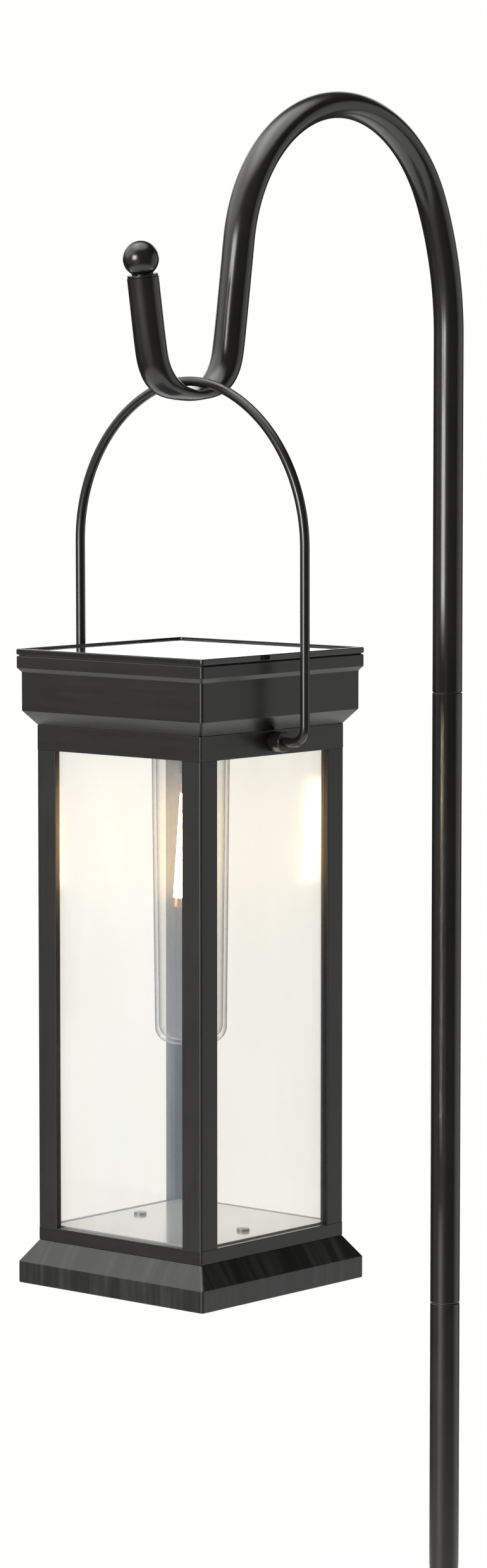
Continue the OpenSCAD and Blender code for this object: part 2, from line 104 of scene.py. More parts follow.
# %% Two small classes for materials
class Socket:
    """One output of a shader node. Arithmetic on it adds Math nodes to the same tree."""

    def __init__(self, finish, output):
        self.finish, self.output = finish, output

    def math(self, operation, *values):
        return self.finish.add("ShaderNodeMath", {"operation": operation}, dict(enumerate(values)))

    def __add__(self, other):
        return self.math("ADD", self, other)

    def __sub__(self, other):
        return self.math("SUBTRACT", self, other)

    def __rsub__(self, other):
        return self.math("SUBTRACT", other, self)

    def __mul__(self, other):
        return self.math("MULTIPLY", self, other)

    __radd__, __rmul__ = __add__, __mul__


class Finish:
    """A node tree being put together, for a material or for the world."""

    def __init__(self, owner):
        owner.use_nodes = True
        self.owner, self.tree = owner, owner.node_tree
        self.tree.nodes.clear()

    def add(self, kind, settings=None, inputs=None, output=0):
        node = self.tree.nodes.new(kind)
        for key, value in (settings or {}).items():
            if key == "stops":
                ramp = node.color_ramp
                while len(ramp.elements) < len(value):
                    ramp.elements.new(0.5)
                for element, (place, colour) in zip(ramp.elements, value):
                    element.position, element.color = place, colour
            else:
                setattr(node, key, value)
        for key, value in (inputs or {}).items():
            if isinstance(value, Socket):
                self.tree.links.new(value.output, node.inputs[key])
            else:
                node.inputs[key].default_value = value
        return Socket(self, node.outputs[output])

    def coords(self, stretch=(1, 1, 1)):
        """The piece's own coordinates in metres, stretched so that a pattern can run along one axis."""
        place = self.add("ShaderNodeTexCoord", output="Object")
        return self.add("ShaderNodeMapping", {}, {"Vector": place, "Scale": stretch})

    def noise(self, scale, stretch=(1, 1, 1), detail=3.0):
        return self.add("ShaderNodeTexNoise", {}, {"Vector": self.coords(stretch), "Scale": scale, "Detail": detail})

    def mix(self, factor, a, b):
        """Colour a where factor is 0 and colour b where it is 1."""
        return self.add("ShaderNodeMix", {"data_type": "RGBA"}, {0: factor, 6: a, 7: b}, output=2)

    def glancing(self, straight_on):
        """Share of light that a surface mirrors: straight_on + (1 - straight_on)*(1 - cosine of the angle)^5.

        It is the same for both sides of a wall, while the Fresnel node would turn the far side into a full mirror.
        """
        facing = self.add("ShaderNodeLayerWeight", {}, {"Blend": 0.5}, output=1)
        return facing.math("POWER", facing, 5.0)*(1 - straight_on) + straight_on

    def bump(self, height, strength, distance):
        return self.add("ShaderNodeBump", {}, {"Height": height, "Strength": strength, "Distance": distance})

    def surface(self, **values):
        """Ends the tree in one Principled shader, or in the shader given as `shader`."""
        shader = values.pop("shader", None)
        if shader is None:
            named = {key.replace("_", " "): value for key, value in values.items()}
            shader = self.add("ShaderNodeBsdfPrincipled", {}, named)
        self.add_output(shader)
        return self.owner

    def add_output(self, shader):
        kind = "ShaderNodeOutputWorld" if isinstance(self.owner, bpy.types.World) else "ShaderNodeOutputMaterial"
        end = self.tree.nodes.new(kind)
        self.tree.links.new(shader.output, end.inputs["Surface"])


def rgb(r, g, b):
    return (r, g, b, 1.0)


print("shader classes ready")

# %% [markdown]
# ## Studio light
# A studio surrounds the object with cards and softboxes. A world does the same job with no noise: it is a dim room
# with bright patches in chosen directions, and each patch is the dot product of the ray with the patch's direction,
# eased from 0 to 1. Straight sight lines see a plain white wall instead. The key is a tall narrow card to the left of
# the camera, which draws the long highlight on each tube. Two soft boxes hang overhead and at the upper left behind,
# for the lid and the tops of the bends. A small box at the right, faint ones at the left and a wide card behind fill
# the rest.

# %% Build the studio
world = bpy.data.worlds.new("studio")
bpy.context.scene.world = world
studio = Finish(world)
ray = studio.add("ShaderNodeTexCoord", output="Generated")


def softbox(direction, inner, outer, strength):
    """strength inside `inner` degrees of the direction, none past `outer` degrees, eased between the two."""
    axis = Vector(direction).normalized()
    along = studio.add("ShaderNodeVectorMath", {"operation": "DOT_PRODUCT"}, {0: ray, 1: tuple(axis)}, output="Value")
    edge = studio.add("ShaderNodeMapRange", {"interpolation_type": "SMOOTHSTEP"},
                      {0: along, 1: math.cos(math.radians(outer)), 2: math.cos(math.radians(inner)), 3: 0, 4: 1})
    return edge*strength


def tall_box(heading, half_width, low, high, strength, soft=3.0):
    """strength between two headings and two elevations, all in degrees, with edges `soft` degrees wide."""
    a = math.radians(heading)
    axes = ((-math.sin(a), math.cos(a), 0), (math.cos(a), math.sin(a), 0), (0, 0, 1))
    along, ahead, up = (studio.add("ShaderNodeVectorMath", {"operation": "DOT_PRODUCT"}, {0: ray, 1: axis},
                                   output="Value") for axis in axes)
    box = ahead.math("GREATER_THAN", ahead, 0.0)*strength
    for value, start, end in ((along.math("ABSOLUTE", along), half_width + soft, half_width),
                              (up, low - soft/2, low + soft/2), (up, high + soft, high)):
        limits = {1: math.sin(math.radians(start)), 2: math.sin(math.radians(end)), 3: 0, 4: 1}
        box = box*studio.add("ShaderNodeMapRange", {"interpolation_type": "SMOOTHSTEP"}, {0: value, **limits})
    return box


room = 0.045
light = (tall_box(181, 11, -4.5, 16, 19)
         + softbox((-0.75, -0.66, 0.00), 35, 80, 0.12)
         + softbox((-0.97, -0.10, -0.25), 10, 36, 0.6)
         + softbox((-0.40, 0.60, 0.72), 22, 50, 2.4)
         + softbox((-0.05, 0.05, 1.00), 18, 40, 3.4)
         + softbox((0.80, -0.62, -0.12), 18, 36, 0.95)
         + softbox((-0.76, 0.64, -0.10), 10, 30, 0.35)
         + tall_box(40.8, 28, 2.0, 24, 1.7) + room)
path = studio.add("ShaderNodeLightPath", output="Is Camera Ray")
through = studio.add("ShaderNodeLightPath", output="Is Transmission Ray")
straight = path.math("MAXIMUM", path, through)
wall = 1.0
seen = straight*wall + (1 - straight)*light
colour = studio.add("ShaderNodeCombineColor", {}, {0: seen, 1: seen*0.998, 2: seen*0.99})
studio.add_output(studio.add("ShaderNodeBackground", {}, {"Color": colour, "Strength": 1.0}))
bpy.context.scene.view_settings.view_transform = "Standard"
print("studio built in a room of", room)

# %% [markdown]
# ## Floor
# A plain pale sheet lies under the tip of the spike. It is a disc, wide enough for the object's shadow and for the
# white that shows on the undersides of the tube, and it is lit to the same white as the wall, so its edge is lost.
# Past the disc the reflections see the dark room, as they do past the edge of a studio table.

# %% Lay the floor
floor_mesh = bpy.data.meshes.new("studio_floor")
floor_reach, floor_sides, floor_z = 1.5, 128, cad_box[0].z - 0.0005
turn = np.linspace(0, 2*math.pi, floor_sides, endpoint=False)
disc = np.stack([floor_reach*np.cos(turn), floor_reach*np.sin(turn), np.full(floor_sides, floor_z)], -1)
floor_mesh.from_pydata(disc.tolist(), [], [list(range(floor_sides))])
floor = bpy.data.objects.new("studio_floor", floor_mesh)
bpy.context.scene.collection.objects.link(floor)
paper = Finish(bpy.data.materials.new("pale_floor"))
mottle = paper.noise(3.0)
paper_tone = paper.mix(mottle, rgb(0.93, 0.93, 0.925), rgb(0.955, 0.955, 0.95))
floor_mesh.materials.append(paper.surface(Base_Color=paper_tone, Roughness=0.9, Specular_IOR_Level=0.1))
print("floor at", round(floor_z, 4))

# %% [markdown]
# ## From arrays to surfaces
# Each new piece is a grid of points, worked out as one numpy array. `surface` joins neighbouring points into
# four-sided faces. A grid can wrap in both directions, which closes a wall with an inside and an outside without any
# cap. The normals are weighted by face size, so that flat faces stay flat next to small rounded edges.

# %% Grid to mesh
def surface(name, grids, material, body, node, loop=True, sharp=50):
    """Makes one piece of one or more grids of points, shape (rings, points, 3), in metres.

    Each ring is closed. With loop the last ring joins the first, and without it both ends get a flat face. Edges that
    turn by more than `sharp` degrees stay crisp. The piece rides on the body and stands for the CAD node.
    """
    points, faces, start = [], [], 0
    for grid in grids:
        rings, count = grid.shape[:2]
        index = np.arange(rings*count).reshape(rings, count) + start
        near, far = (index, np.roll(index, -1, 0)) if loop else (index[:-1], index[1:])
        quads = np.stack([near, np.roll(near, -1, 1), np.roll(far, -1, 1), far], -1).reshape(-1, 4)
        faces += quads.tolist()
        if not loop:
            faces += [index[0][::-1].tolist(), index[-1].tolist()]
        points.append(grid.reshape(-1, 3))
        start += rings*count
    mesh = bpy.data.meshes.new(name)
    mesh.from_pydata(np.concatenate(points).tolist(), [], faces)
    shell = bmesh.new()
    shell.from_mesh(mesh)
    bmesh.ops.remove_doubles(shell, verts=shell.verts, dist=1e-7)
    bmesh.ops.dissolve_degenerate(shell, edges=shell.edges, dist=1e-7)
    bmesh.ops.recalc_face_normals(shell, faces=shell.faces)
    shell.to_mesh(mesh)
    shell.free()
    mesh.polygons.foreach_set("use_smooth", np.ones(len(mesh.polygons), bool))
    mesh.set_sharp_from_angle(angle=math.radians(sharp))
    mesh.materials.append(material)
    piece = bpy.data.objects.new(name, mesh)
    bpy.context.scene.collection.objects.link(piece)
    weigh = piece.modifiers.new("flat_faces_stay_flat", "WEIGHTED_NORMAL")
    weigh.keep_sharp = True
    weigh.weight = 100
    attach(piece, body)
    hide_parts(node)
    print(name, "-", len(mesh.polygons), "faces")


def rounded(corners, radii, steps=5, closed=True):
    """A polyline of 2-D corners with each corner replaced by an arc of its radius.

    The arc starts and ends where it touches the two sides: at radius*tan(turn/2) from the corner.
    """
    corners = np.array(corners, float)
    radii = np.broadcast_to(np.array(radii, float), len(corners))
    line = []
    for i, (corner, radius) in enumerate(zip(corners, radii)):
        before, after = corners[i - 1] - corner, corners[(i + 1) % len(corners)] - corner
        if radius == 0 or (not closed and i in (0, len(corners) - 1)):
            line.append(corner[None])
            continue
        u, v = before/np.linalg.norm(before), after/np.linalg.norm(after)
        open_angle = math.acos(np.clip(u @ v, -1, 1))
        reach = min(radius/math.tan(open_angle/2), 0.45*np.linalg.norm(before), 0.45*np.linalg.norm(after))
        radius = reach*math.tan(open_angle/2)
        middle = corner + (u + v)/np.linalg.norm(u + v)*radius/math.sin(open_angle/2)
        first, last = corner + u*reach - middle, corner + v*reach - middle
        turn = math.pi - open_angle
        t = np.linspace(0, 1, steps)[:, None]
        line.append(middle + (np.sin((1 - t)*turn)*first + np.sin(t*turn)*last)/math.sin(turn))
    return np.concatenate(line)


def lathe(profile, around=48, centre=(0, 0, 0), axis=(0, 0, 1)):
    """Turns a profile of (radius, height) about an axis: point = centre + radius*(cos a, sin a) + height*axis."""
    spin = Vector(axis).to_track_quat("Z", "Y").to_matrix()
    profile = np.array(profile, float)
    a = np.linspace(0, 2*math.pi, around, endpoint=False)
    ring = np.stack([np.cos(a), np.sin(a), np.zeros(around)], -1)
    grid = profile[:, None, :1]*ring[None] + profile[:, None, 1:]*np.array([0, 0, 1.0])
    return (grid @ np.array(spin).T + np.array(centre))*MM


def square_turn(profile, corner=0.9, steps=5, centre=lantern/MM):
    """Carries a profile of (half width, height) round a square whose upright edges have a small radius.

    Each ring is four quarter circles of radius c about (half - c, half - c), joined by straight sides.
    """
    profile = np.array(profile, float)
    a = np.linspace(0, math.pi/2, steps)
    quarter = np.concatenate([a + k*math.pi/2 for k in range(4)])
    sides = np.repeat(np.array([[1, 1], [-1, 1], [-1, -1], [1, -1]]), steps, 0)
    c = np.minimum(corner, profile[:, :1])
    arc = np.stack([np.cos(quarter), np.sin(quarter)], -1)
    flat = sides[None]*(profile[:, None, :1] - c[:, None]) + c[:, None]*arc[None]
    height = np.broadcast_to(profile[:, None, 1:], flat.shape[:2] + (1,))
    return (np.concatenate([flat, height], -1) + np.array(centre))*MM


print("surface helpers ready")

# %% [markdown]
# ## Bent tube and wire
# A bender turns straight stock by known radii and angles. The path is built the same way: its direction changes at
# a rate of turn/length in each bend and not at all between them, and adding up small steps gives the line. The rate
# is averaged over a few millimetres, because real stock eases into a bend. The section is an ellipse that can change
# along the path, because thin tube flattens where it is bent hard.

# %% Follow a bender's path
def bender_path(start, heading, steps, ease, spacing):
    """Points and headings along a flat path. steps are (length, turn in degrees); heading 0 is up, 90 is sideways.

    heading(s) = start heading + integral of turn rate, and point(s) = start + integral of (sin, cos) of the heading.
    """
    lengths = np.array([length for length, _ in steps])
    turns = np.radians([turn for _, turn in steps])
    total, fine = lengths.sum(), 0.1
    s = np.arange(0, total + fine/2, fine)
    which = np.clip(np.searchsorted(np.cumsum(lengths), s, side="right"), 0, len(steps) - 1)
    rate = (turns/lengths)[which]
    reach = int(ease/fine)
    padded = np.pad(rate, reach, mode="edge")
    rate = np.convolve(padded, np.ones(2*reach + 1)/(2*reach + 1), mode="valid") if reach else rate
    angle = math.radians(heading) + np.concatenate([[0], np.cumsum((rate[1:] + rate[:-1])/2*fine)])
    step = np.stack([np.sin(angle), np.cos(angle)], -1)
    line = np.array(start) + np.concatenate([[[0, 0]], np.cumsum((step[1:] + step[:-1])/2*fine, 0)])
    take = np.unique(np.round(np.linspace(0, len(s) - 1, int(total/spacing) + 1)).astype(int))
    return s[take], line[take], angle[take]


def swept(line, angle, in_plane, across, shift, plane, around=40, centre=(0, 0, 0)):
    """Carries an ellipse along a flat path: line + inward*(in_plane*cos t + shift) + across*sin t.

    plane holds the 3-D directions of the path's first and second coordinate. Inward is the path's right-hand side.
    """
    first, second = (np.array(p, float) for p in plane)
    side = np.cross(second, first)
    inward = np.cos(angle)[:, None]*first - np.sin(angle)[:, None]*second
    middle = line[:, :1]*first + line[:, 1:]*second
    t = np.linspace(0, 2*math.pi, around, endpoint=False)
    out = (in_plane[:, None]*np.cos(t) + shift[:, None])[..., None]*inward[:, None]
    return (middle[:, None] + out + (across[:, None]*np.sin(t))[..., None]*side + np.array(centre))*MM


print("bender ready")

# %% [markdown]
# ## Black paint
# The steel is coated in satin black. The coat is never even: it has a very fine orange-peel surface, it is a little
# browner where it is thin, and wiping and handling leave faint streaks that change only its gloss. The streaks run
# along each piece, so each paint is told how its pattern is stretched.

# %% Mix the paints
def paint(name, stretch, roughness=0.32, streak=0.10, mirror=0.45):
    """Satin black paint. stretch is small along the streaks, so that the noise is drawn out in that direction.

    streak is how much the roughness changes between streaks, and mirror is the specular level.
    """
    coat = Finish(bpy.data.materials.new(name))
    streaks = coat.noise(420, stretch, 3)
    clouds = coat.noise(38)
    peel = coat.noise(1500, detail=1)
    gloss = (streaks - 0.5)*streak + (clouds - 0.5)*0.08 + roughness
    height = coat.bump(peel*0.6 + streaks*0.4, 0.03, 0.0001)
    tone = coat.mix(clouds*0.6 + streaks*0.4, rgb(0.0045, 0.0042, 0.0036), rgb(0.0100, 0.0094, 0.0082))
    return coat.surface(Base_Color=tone, Roughness=gloss, Normal=height, Specular_IOR_Level=mirror)


pole_paint = paint("black_pole_paint", (1, 1, 0.03), roughness=0.23, streak=0.06)
hook_paint = paint("black_hook_paint", (0.5, 1, 0.5), roughness=0.22, streak=0.02)
upright_paint = paint("black_upright_paint", (1, 1, 0.04), roughness=0.40, mirror=0.34)
level_paint = paint("black_level_paint", (0.05, 0.05, 1), streak=0.14, mirror=0.34)
wire_paint = paint("black_wire_paint", (1, 0.3, 0.3), roughness=0.24, streak=0.04)
print("paints:", pole_paint.name, hook_paint.name, upright_paint.name, level_paint.name, wire_paint.name)

# %% [markdown]
# The base moulding was rubbed down before it was painted, and the hairlines still show in its gloss and its bump:
# they run up its slopes. The pale streaks in its colour are a painted sheen: where the hairlines and some patches
# meet, the black is painted lighter, as a bevel looks where it catches a light. Two streak patterns are mixed, one for
# the faces that look along X and one for those that look along Y, and the face's own normal chooses between them.

# %% Mix the rubbed paint and its painted sheen
rubbed_and_painted_sheen = Finish(bpy.data.materials.new("black_rubbed_paint_and_painted_sheen"))
facing_x, facing_y = (rubbed_and_painted_sheen.add("ShaderNodeSeparateXYZ", {}, {0: rubbed_and_painted_sheen.add("ShaderNodeNewGeometry", output=1)},
                                 output=i) for i in (0, 1))
looks_x = facing_x.math("GREATER_THAN", facing_x.math("ABSOLUTE", facing_x), facing_y.math("ABSOLUTE", facing_y))
hairlines = rubbed_and_painted_sheen.noise(190, (0.05, 1, 0.05), 5)*looks_x + rubbed_and_painted_sheen.noise(190, (1, 0.05, 0.05), 5)*(1 - looks_x)
patches = rubbed_and_painted_sheen.noise(22)
# painted sheen: pale streaks painted into the base colour, standing in for light caught along the slopes
painted_sheen_streaks = (hairlines - 0.46)*(patches*5.0 - 0.5)
painted_sheen_tone = rubbed_and_painted_sheen.mix(painted_sheen_streaks, rgb(0.003, 0.0028, 0.0024), rgb(0.030, 0.029, 0.028))
rubbed_gloss = (hairlines - 0.5)*0.25 + (patches - 0.5)*0.2 + 0.36
rubbed_paint_and_painted_sheen = rubbed_and_painted_sheen.surface(Base_Color=painted_sheen_tone, Roughness=rubbed_gloss, Specular_IOR_Level=0.45,
                              Normal=rubbed_and_painted_sheen.bump(hairlines, 0.35, 0.0004))
print("rubbed paint:", rubbed_paint_and_painted_sheen.name)

# %% [markdown]
# ## Pole
# The pole is two plain lengths of 16 mm tube with a 1 mm wall. A tube is a small profile turned about the pole's
# axis. The profile goes up the outside, over a rounded rim, down the bore and back, so the wall is closed and the
# seams between sections catch a fine line of light, as cut and painted tube ends do.

# %% Turn the two straight sections
tube_r, bore_r = 8.0, 7.0
for name, node, body in (("lower_tube", "lower_pole", "stake"), ("middle_tube", "middle_pole", "mid_pole")):
    low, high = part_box(node)
    z0, z1 = low.z/MM, high.z/MM
    wall_line = rounded([(tube_r, z0), (tube_r, z1), (bore_r, z1), (bore_r, z0)], [0.45, 0.45, 0.3, 0.3], 4)
    surface(name, [lathe(wall_line, 64)], pole_paint, body, node)

# %% [markdown]
# ## Hook
# The hook is one length of the same tube, bent in a gentle shoulder, a large arch and a tight crook. Thin tube goes
# oval when it is bent: the arch is a little flatter than it is wide, and the crook is squashed to under half its
# height, with its inner side almost where the bender's roller held it. So the ellipse's two radii change along the
# path, and the middle of the section moves outward on the arch and inward in the crook. The crook's inner side is
# lowered by a hair, so that the bail clears it when it sways.

# %% Bend the hook
rise, drop, tip = 190.5, 57.5, 38.4
shoulder_r, shoulder_turn, arch_r, arch_turn, crook_r, crook_turn = 171, 24.5, 82, 147, 29.5, 162.5
hook_steps = [(rise, 0), (math.radians(shoulder_turn)*shoulder_r, shoulder_turn),
              (math.radians(arch_turn)*arch_r, arch_turn), (drop, 0),
              (math.radians(crook_turn)*crook_r, -crook_turn), (tip, 0)]
s, line, angle = bender_path((0, hook_seam_z/MM), 0, hook_steps, 4.0, 2.0)
ends = np.cumsum([length for length, _ in hook_steps])
arch_middle, arch_reach = (ends[1] + ends[2])/2, (ends[2] - ends[1])/2
crook_middle, crook_reach = (ends[3] + ends[4])/2, (ends[4] - ends[3])/2
arch = 1/(1 + np.abs((s - arch_middle)/(0.95*arch_reach))**6)
crook = np.exp(-np.abs((s - crook_middle)/(0.52*crook_reach))**2.6)
bends = 1/(1 + np.abs((s - crook_middle)/(1.15*crook_reach))**8)
arch_flat, drop_flat, crook_flat, crook_pinch = 1.1, 0.5, 4.65, 2.2
arch_sag, bail_room = 0.7, 0.4
thin = tube_r - arch_flat*arch - drop_flat*bends*(1 - crook) - crook_flat*crook
wide = np.sqrt(2*tube_r**2 - thin**2) - crook_pinch*crook
shift = -arch_sag*arch - (tube_r - thin)*bends + bail_room*crook
hook_plane, skin, bore, rim_middle = ((-1, 0, 0), (0, 0, 1)), 1.0, 0.88, 0.95
steel = [swept(line, angle, thin*k, wide*k, shift, hook_plane, 56) for k in (skin, bore)]
rim = swept(line[:1], angle[:1], thin[:1]*rim_middle, wide[:1]*rim_middle, shift[:1], hook_plane, 56)
surface("hook_tube", [np.concatenate([steel[0], steel[1][::-1], rim])], hook_paint, "hook", "hook_pole",
        sharp=60)
print("crook squashed to", round(float(2*thin.min()), 2), "mm, and", round(float(2*wide.max()), 2), "mm wide")

# %% [markdown]
# ## Ball
# A plastic or cast ball closes the tip. It sits on a flat collar with a groove under it. All of it is round, so it is
# one profile turned about the tip's axis: collar, groove, then the ball as part of a circle.

# %% Turn the ball
tip_angle = angle[-1]
tip_axis = np.array([-math.sin(tip_angle), 0, math.cos(tip_angle)])
tip_point = np.array([-line[-1, 0], 0, line[-1, 1]])
ball_r, collar, collar_r, groove_r, plug_r, plug_depth = 9.0, 1.4, 7.7, 5.4, 6.6, 11
lift = collar/2 + ball_r - 0.6
turn = np.linspace(math.asin((collar + 0.5 - lift)/ball_r), math.pi/2, 40)
collar_line = rounded([(plug_r, 0), (collar_r, 0), (collar_r, collar), (groove_r, collar)],
                      [0, 0.35, 0.35, 0], 4, False)
ball_line = np.concatenate([[(0, -plug_depth), (plug_r, -plug_depth), (plug_r, 0)], collar_line[1:],
                            np.stack([ball_r*np.cos(turn), lift + ball_r*np.sin(turn)], -1)[:-1], [(0, lift + ball_r)]])
surface("tip_ball", [lathe(ball_line, 56, tip_point, tip_axis)], hook_paint, "hook", "hook_ball", False)

# %% [markdown]
# ## Bail
# The bail is one wire, 4.8 mm thick. It leaves the bush on one side, turns up, rises straight, closes in over the
# lantern in a bow with a tighter crown, and comes down the same way. All its turns add up to one full circle, so the
# same path function makes it, and only the ends are rounded off. The bow is then stretched a little, in width and
# height, to meet the CAD node's legs and top.

# %% Bend the bail
wire_r, leg_y, leg, pivot_z, half_span = 2.4, 75.5, 89.0, 279.3, 47.0
elbow_r, bow_r, bow_turn, crown_r, crown_turn = 7.5, 83.7, 66, 63.54, 48
end_run, elbow = (leg_y - elbow_r - half_span, 0), (math.radians(90)*elbow_r, 90)
bow, crown = (math.radians(bow_turn)*bow_r, bow_turn), (math.radians(crown_turn)*crown_r, crown_turn)
bail_steps = [end_run, elbow, (leg, 0), bow, crown, bow, (leg, 0), elbow, end_run]
s, line, angle = bender_path((-half_span, pivot_z), -90, bail_steps, 1.5, 1.2)
line[:, 0] -= (line[:, 0].max() + line[:, 0].min())/2
line[:, 0] *= leg_y/line[:, 0].max()
top = line[:, 1].max() + wire_r
bail_top = (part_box("bail_handle")[1].z - lantern[2])/MM
inside, end_round = 0.08, 1.2
line[:, 1] += (bail_top - inside - top)*(line[:, 1] - pivot_z)/(top - pivot_z)
near_end = np.minimum(s, s[-1] - s)
radius = wire_r*np.sqrt(1 - np.clip(1 - near_end/end_round, 0, 0.8)**2)
bail_plane = ((0, 1, 0), (0, 0, 1))
surface("bail_wire", [swept(line, angle, radius, radius, 0*s, bail_plane, 28, lantern/MM)], wire_paint,
        "bail", "bail_handle", False)
print("bail top", round(float(line[:, 1].max() + wire_r), 2), "from the plinth; its CAD node", round(bail_top, 2))

# %% [markdown]
# ## Bushes
# Each end of the bail turns in a moulded bush screwed into the post: a wide head on a narrower neck. Both are
# turned parts, so each bush is a profile about the pivot axis, which runs along Y.

# %% Turn the bushes
bush_line = rounded([(0, 52), (3.9, 52), (3.9, 55), (5.1, 55), (5.1, 62.8), (0, 62.8)], [0, 0, 0, 0.4, 0.9, 0], 5)
bushes = [lathe(bush_line[1:-1], 40, lantern/MM + np.array([0, 0, pivot_z]), (0, side, 0)) for side in (-1, 1)]
surface("bushes", bushes, level_paint, "lantern", "pivot_bushes", False)

# %% [markdown]
# ## Lantern frame
# The lantern is a square base, four folded corner posts, two rails and a square cap. Base, rails and cap all have one
# profile all round, so the profile is carried round a square with softened upright edges. Real mouldings and painted
# sheet never have a knife edge, and the small radii are what draws the thin bright lines along every corner.

# %% Carry the profiles round the square
plinth_line = rounded([(62.5, 0), (62.5, 11), (55, 22), (49.4, 22), (49.4, 28), (0.2, 28), (0.2, 25.8), (47.2, 25.8),
                       (47.2, 19.5), (52.3, 19.5), (59.8, 10), (59.8, 0)],
                      [0.5, 0.8, 0.8, 0.5, 0.5, 0, 0, 0.3, 0.3, 0.5, 0.5, 0.3])
surface("base_moulding", [square_turn(plinth_line, 1.5)], rubbed_paint_and_painted_sheen, "lantern", "plinth")
for name, node, z0, z1 in (("rail_below", "bottom_rail", 22, 29), ("rail_above", "top_rail", 272.3, 285)):
    rail_line = rounded([(55, z0), (55, z1), (52, z1), (52, z0)], 0.35)
    surface(name, [square_turn(rail_line)], level_paint, "lantern", node)
cap_line = rounded([(55, 285), (60.7, 292.3), (60.7, 311.7), (62.5, 314), (62.5, 320), (58.5, 320), (58.5, 293.2),
                    (52.6, 287.2), (46, 287.2), (46, 285), (49.8, 285), (49.8, 282.6), (51.6, 282.6), (51.6, 285)],
                   [0, 0.8, 0.8, 0.7, 0.5, 0.3, 0.5, 0.5, 0.3, 0.3, 0, 0.3, 0.3, 0])
boss_line = rounded([(0.8, 281.5), (2.8, 281.5), (2.8, 286.5), (0.8, 286.5)], 0.2, 3)
bosses = [lathe(boss_line, 24, lantern/MM + np.array([48.5*i, 48.5*j, 0])) for i in (-1, 1) for j in (-1, 1)]
surface("cap_moulding", [square_turn(cap_line, 1.5)] + bosses, level_paint, "cap", "cap_shell")

# %% [markdown]
# ## Corner posts
# Each post is an angle folded from 3 mm section, 12.5 mm on each leg. Its profile is an L with a small outside radius,
# lofted straight up between the rails. One drawing serves all four corners, mirrored by the signs of x and y.

# %% Loft the posts
angle_line = rounded([(55, 55), (42.5, 55), (42.5, 52), (52, 52), (52, 42.5), (55, 42.5)],
                     [1.2, 0.35, 0.35, 0.3, 0.35, 0.35])
post_foot, post_head = 29.0, 272.3
for number, (i, j) in enumerate(((-1, -1), (1, -1), (1, 1), (-1, 1)), 1):
    flat = angle_line*np.array([i, j])
    rings = [np.column_stack([flat, np.full(len(flat), z)]) for z in (post_foot, post_head)]
    post = (np.stack(rings) + lantern/MM)*MM
    surface(f"post_{number}", [post], upright_paint, "lantern", f"corner_post_{number}", False)

# %% [markdown]
# ## Lid
# The panel sits in a flat lid. Its rim drops by one millimetre to the land the cover glass lies on, so from the side
# it shows as one thin edge over the cap.

# %% Carry the lid's profile round
lid_line = rounded([(62.5, 320.6), (62.5, 323.6), (60.7, 323.6), (60.7, 322.6), (52.2, 322.6), (52.2, 319.4),
                    (0.2, 319.4), (0.2, 317.8), (56, 317.8), (56, 320.6)],
                   [0.4, 0.6, 0.3, 0.2, 0.2, 0.3, 0, 0, 0.5, 0.2])
lid_paint = paint("black_lid_gloss", (1, 1, 1), roughness=0.08, streak=0.03)
surface("lid_moulding", [square_turn(lid_line, 1.2)], lid_paint, "cap", "lid_frame")

# %% [markdown]
# ## Clear pieces
# Flat glass is not modelled as a refracting block: a studio render of it needs many rays and gives the same picture
# as three mixed layers. A glossy layer grows as the sight line grows more glancing, a very thin pale diffuse veil,
# bluish on the windows, lifts what is seen through the glass, and the rest lets light straight through with the
# glass's tint. The tube is clear in the middle and dark at its edges, where a sight line runs a long way through the
# wall, so it is a mix of a clear and a dark transparent shader, and the factor comes from the facing angle.

# %% Mix the glass
def clear(name, tint, veil, veil_colour, gloss, mirror):
    """Glass as gloss that grows at glancing angles, over a veil, over plain transmission."""
    glass = Finish(bpy.data.materials.new(name))
    wiped, smear = glass.noise(60, (1, 1, 0.25), 4), 0.02
    shine = glass.add("ShaderNodeBsdfGlossy", {},
                      {"Roughness": (wiped - 0.5)*smear + gloss, "Color": rgb(0.92, 0.94, 0.95)})
    straight_on = glass.add("ShaderNodeBsdfTransparent", {}, {"Color": rgb(*tint)})
    # a thin pale diffuse veil over the plain transmission, bluish on the windows, which lifts what shows through
    pale_veil = glass.add("ShaderNodeBsdfDiffuse", {}, {"Color": rgb(*veil_colour)})
    body = glass.add("ShaderNodeMixShader", {}, {0: (wiped - 0.5)*0.05 + veil, 1: straight_on, 2: pale_veil})
    return glass.surface(shader=glass.add("ShaderNodeMixShader", {}, {0: glass.glancing(mirror), 1: body, 2: shine}))


pane_glass = clear("pane_glass", (0.992, 0.982, 0.956), 0.05, (0.74, 0.86, 1.0), gloss=0.13, mirror=0.04)
cover_glass = clear("cover_glass", (0.93, 0.95, 0.97), 0.03, (0.5, 0.55, 0.62), gloss=0.03, mirror=0.045)
tube = Finish(bpy.data.materials.new("tube_glass"))
edge_on = tube.add("ShaderNodeLayerWeight", {}, {"Blend": 0.5}, output=1)
depths = [(place, rgb(share, share, share)) for place, share in ((0.0, 0), (0.55, 0.06), (0.82, 0.42), (1.0, 1))]
wall_depth = tube.add("ShaderNodeValToRGB", {"stops": depths}, {"Fac": edge_on})
see_through = tube.add("ShaderNodeMixShader", {}, {
    0: wall_depth, 1: tube.add("ShaderNodeBsdfTransparent", {}, {"Color": rgb(0.99, 0.985, 0.975)}),
    2: tube.add("ShaderNodeBsdfTransparent", {}, {"Color": rgb(0.30, 0.31, 0.32)})})
bloom = tube.add("ShaderNodeBsdfDiffuse", {}, {"Color": rgb(0.95, 0.93, 0.90)})
